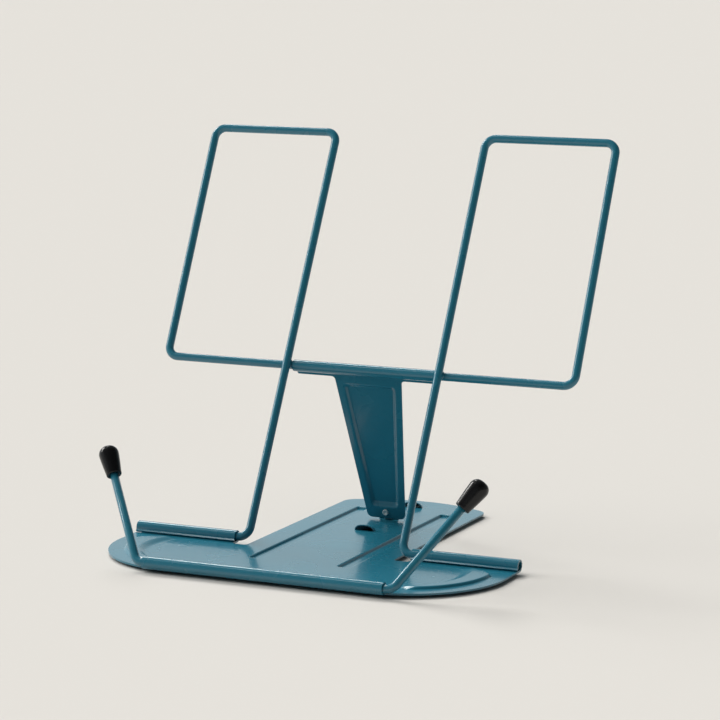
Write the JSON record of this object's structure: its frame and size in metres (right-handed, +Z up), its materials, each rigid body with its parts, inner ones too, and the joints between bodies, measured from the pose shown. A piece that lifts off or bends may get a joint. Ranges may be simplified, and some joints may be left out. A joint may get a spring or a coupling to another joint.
{
  "type": "folding bookstand",
  "caption": "Folding bookstand: stamped steel base with rolled hems, bent wire back frame, pressed support leg with a catch in a louvre, and a wire page holder.",
  "frame": {"origin": "on the table, in the middle of the space that the stand takes up, under the tongue just behind the rear hems", "axes": "+X along the hems, to the right seen from the front; +Y to the back; +Z up"},
  "size_m": [0.2404, 0.2062, 0.2109],
  "materials": {
    "paint_plate": "gloss",
    "paint_wire": "gloss",
    "paint_leg": "gloss",
    "catch_steel": "zinc plated",
    "rivet_steel": "bright",
    "vinyl": "soft sheen",
    "foot_rubber": "matt"
  },
  "bodies": {
    "base": {"base_plate": "paint_plate", "foot_front_left": "foot_rubber", "foot_front_right": "foot_rubber", "foot_back_left": "foot_rubber", "foot_back_right": "foot_rubber"},
    "frame": {"back_frame": "paint_wire"},
    "leg": {"support_leg": "paint_leg", "catch_hook": "catch_steel", "rivet": "rivet_steel"},
    "page_arms": {"page_holder": "paint_wire", "tip_left": "vinyl", "tip_right": "vinyl"}
  },
  "joints": [
    {"name": "frame_fold", "type": "hinge", "parent": "base", "child": "frame", "pos_m": [0, -0.02786, 0.00478], "axis": [1, 0, 0], "range_deg": [0, 114]},
    {"name": "leg_swing", "type": "hinge", "parent": "frame", "child": "leg", "pos_m": [0, 0.02251, 0.08895], "axis": [1, 0, 0], "range_deg": [-48, 0]},
    {"name": "page_holder_swing", "type": "hinge", "parent": "base", "child": "page_arms", "pos_m": [0, -0.09986, 0.00478], "axis": [1, 0, 0], "range_deg": [-50, 122]}
  ],
  "couplings": [
    {"joint": "leg_swing", "follows": "frame_fold", "ratio": -0.3997}
  ]
}
